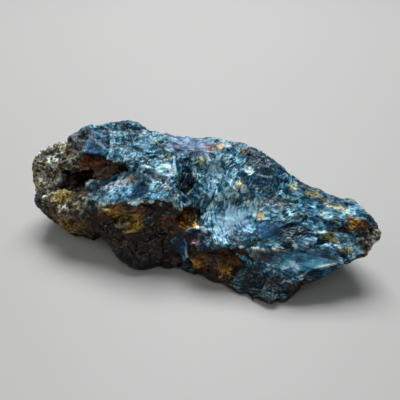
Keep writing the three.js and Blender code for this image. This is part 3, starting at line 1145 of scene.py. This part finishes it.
def grit(n, f, grain, tint):
    """The crust: grey and brown grains with ochre between them."""
    level = n.math("MULTIPLY_ADD", grain, 0.7, 0.1)
    level = n.shifted(level, 1.0, f.fine)
    level = n.shifted(level, 0.8, n.mask("tone"))
    level = n.shifted(level, 1.6, n.noise(WAVES["grit"], 3))
    ochre = n.band(n.shifted(n.shifted(tint, 1.0, f.fine), 1.5, f.mottle), "ochre")
    return n.mix(n.times(ochre, STRENGTHS["ochre"]), n.ramp(level, *GRIT_RAMP), OCHRE_GRIT)


def stain(n, f, tone):
    """The stains' colour and where they show."""
    tone = n.shifted(n.shifted(tone, 0.4, f.fine), 0.3, f.chip)
    colour = n.vector("MULTIPLY", n.mask("stain", "Vector"), n.ramp(tone, *STAIN_RAMP))
    cover = n.shifted(n.shifted(n.mask("cover"), 0.4, f.facet), 1.4, f.mottle)
    cover = n.shifted(cover, 0.5, f.streak)
    return colour, n.band(cover, "stain")


def edged(n, f, shaded, colour):
    """A colour with sharp edges made pale, partly as thin amber and partly as painted highlight kept off
    the painted shade, and thin pale scratches over it.
    """
    edge = n.shifted(n.shifted(n.mask("edge"), 1.6, f.mottle), 0.8, n.noise(WAVES["edge"], 2))
    edge = n.times(n.band(edge, "edge"), n.math("SUBTRACT", 1.0, shaded))
    colour = n.mix(n.times(edge, STRENGTHS["edge"]), colour, PALE_EDGE_AND_HIGHLIGHT)
    scratches = n.times(n.band(f.scratch, "scratch"), f.busy)
    scratches = n.times(scratches, n.math("MULTIPLY_ADD", shaded, -0.5, 1.0))
    return n.mix(n.times(scratches, STRENGTHS["scratch"]), colour, SCRATCH)


def relief(n, f, grain, pebble, crusty):
    """The bumps too small for the mesh."""
    hard = n.math("ADD", f.slab, n.times(f.splinter, 0.5))
    hard = n.times(n.shifted(hard, 0.25, f.streak), f.busy)
    soft = n.math("MULTIPLY_ADD", grain, 0.4, pebble)
    hard = n.times(hard, n.math("SUBTRACT", 1.0, crusty))
    bump = n.node("ShaderNodeBump", Height=n.math("MULTIPLY_ADD", soft, crusty, hard))
    bump.inputs["Strength"].default_value = 1.0
    bump.inputs["Distance"].default_value = BUMP_DEPTH
    return bump.outputs["Normal"]


def add_absorption(n):
    """What the resin takes out of the light inside it, which leaves it brown where it is thick."""
    absorb = n.node("ShaderNodeVolumeAbsorption")
    absorb.inputs["Color"].default_value = ABSORBED
    absorb.inputs["Density"].default_value = ABSORPTION
    n.set(n.tree.nodes["Material Output"].inputs["Volume"], absorb.outputs["Volume"])


def new_material(name):
    """A material with its shader."""
    material = bpy.data.materials.new(name)
    material.use_nodes = True
    return material, material.node_tree.nodes["Principled BSDF"]


def amber_material():
    material, shader = new_material("blue_amber")
    n = Nodes(material.node_tree)
    f = Fracture(n)
    grain, tint, pebble = n.facets(WAVES["grain"], n.place)
    tone = lightness(n, f)
    shaded = n.band(n.shifted(n.mask("shaded"), 0.8, f.mottle), "shaded")
    crusty = n.band(n.shifted(n.mask("crust"), 1.2, f.mottle), "crusty")
    # Lit and shaded looks of one amber: the painted shade mask puts the brown resin in place of the blue
    # sheen.
    colour = n.mix(shaded, sheen(n, f, tone), resin(n, f, tone))
    colour = n.mix(crusty, colour, grit(n, f, grain, tint))
    colour = edged(n, f, shaded, colour)
    stains, cover = stain(n, f, tone)
    n.set(shader.inputs["Base Color"], n.mix(cover, colour, stains))
    unstained = n.times(shaded, SHADED_CLEARNESS)
    clear = n.math("MAXIMUM", n.times(cover, n.mask("clear")), unstained)
    clear = n.times(clear, n.math("SUBTRACT", 1.0, crusty))
    n.set(shader.inputs["Transmission Weight"], clear)
    rough = n.math("MULTIPLY_ADD", f.fine, ROUGHER["fine"], ROUGHNESS)
    rough = n.math("MULTIPLY_ADD", shaded, ROUGHER["shaded"], rough)
    n.set(shader.inputs["Roughness"], n.math("MULTIPLY_ADD", crusty, ROUGHER["crusty"], rough))
    n.set(shader.inputs["Normal"], relief(n, f, grain, pebble, crusty))
    shader.inputs["IOR"].default_value = IOR
    shader.inputs["Specular IOR Level"].default_value = SPECULAR
    add_absorption(n)
    return material


def floor_material():
    material, shader = new_material("pale_floor")
    shader.inputs["Base Color"].default_value = FLOOR_COLOUR
    shader.inputs["Roughness"].default_value = FLOOR_ROUGHNESS
    return material


# ---- scene

# The lights: place, size, power in watts and colour. They all point at the middle of the lump.
LIGHTS = {
    "window": ((-0.15, 0.55, 0.95), (0.7, 0.5), 20, (0.95, 0.98, 1.0)),
    "ceiling": ((0.15, -0.35, 1.0), (0.6, 0.6), 1.4, (0.93, 0.98, 1.0)),
    "side": ((-0.8, -0.15, 0.5), (0.5, 0.5), 1.6, (1.0, 0.97, 0.92)),
    "fill": ((0.25, -0.7, 0.35), (0.7, 0.5), 0.9, (1.0, 0.93, 0.84)),
}
LIT_POINT = (0, 0, 0.015)
WORLD_COLOUR = (0.68, 0.83, 1.0, 1)
WORLD_STRENGTH = 0.13
FLOOR_HALF = 1.5

# The camera: a lens as long as the sensor is wide, in millimetres, from above the front right.
LENS = 36
SENSOR = 36
CAMERA_PLACE = Vector((0.0350, -0.10727, 0.1060))
CAMERA_AHEAD = Vector((-0.23039, 0.75358, -0.61566))
NEAREST_SEEN = 0.01


def add_lump():
    mesh = sculpted_lump()
    lump = added("amber_lump", mesh)
    mesh.materials.append(amber_material())
    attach(lump, "root")
    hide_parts("rough_amber")


def add_floor():
    corners = [(x * FLOOR_HALF, y * FLOOR_HALF, 0) for x, y in ((-1, -1), (1, -1), (1, 1), (-1, 1))]
    mesh = bpy.data.meshes.new("floor")
    mesh.from_pydata(corners, [], [(0, 1, 2, 3)])
    floor = added("floor", mesh)
    mesh.materials.append(floor_material())


def aimed(place, target):
    """The matrix of a light or camera at place that looks at target."""
    turn = (Vector(target) - Vector(place)).to_track_quat("-Z", "Y")
    return Matrix.Translation(place) @ turn.to_matrix().to_4x4()


def add_light(name, place, size, power, colour):
    data = bpy.data.lights.new(name, "AREA")
    data.shape = "RECTANGLE"
    data.size, data.size_y = size
    data.energy = power
    data.color = colour
    added(name, data).matrix_world = aimed(place, LIT_POINT)


def add_lights():
    for name, light in LIGHTS.items():
        add_light(name, *light)
    world = bpy.data.worlds.new("studio")
    world.use_nodes = True
    background = world.node_tree.nodes["Background"]
    background.inputs["Color"].default_value = WORLD_COLOUR
    background.inputs["Strength"].default_value = WORLD_STRENGTH
    bpy.context.scene.world = world


def add_camera():
    data = bpy.data.cameras.new("camera")
    data.sensor_width = SENSOR
    data.lens = LENS
    data.clip_start = NEAREST_SEEN
    camera = added("camera", data)
    camera.matrix_world = aimed(CAMERA_PLACE, CAMERA_PLACE + CAMERA_AHEAD)
    bpy.context.scene.camera = camera
    bpy.context.scene.view_settings.view_transform = "Standard"


add_camera()
add_lights()
add_floor()
add_lump()
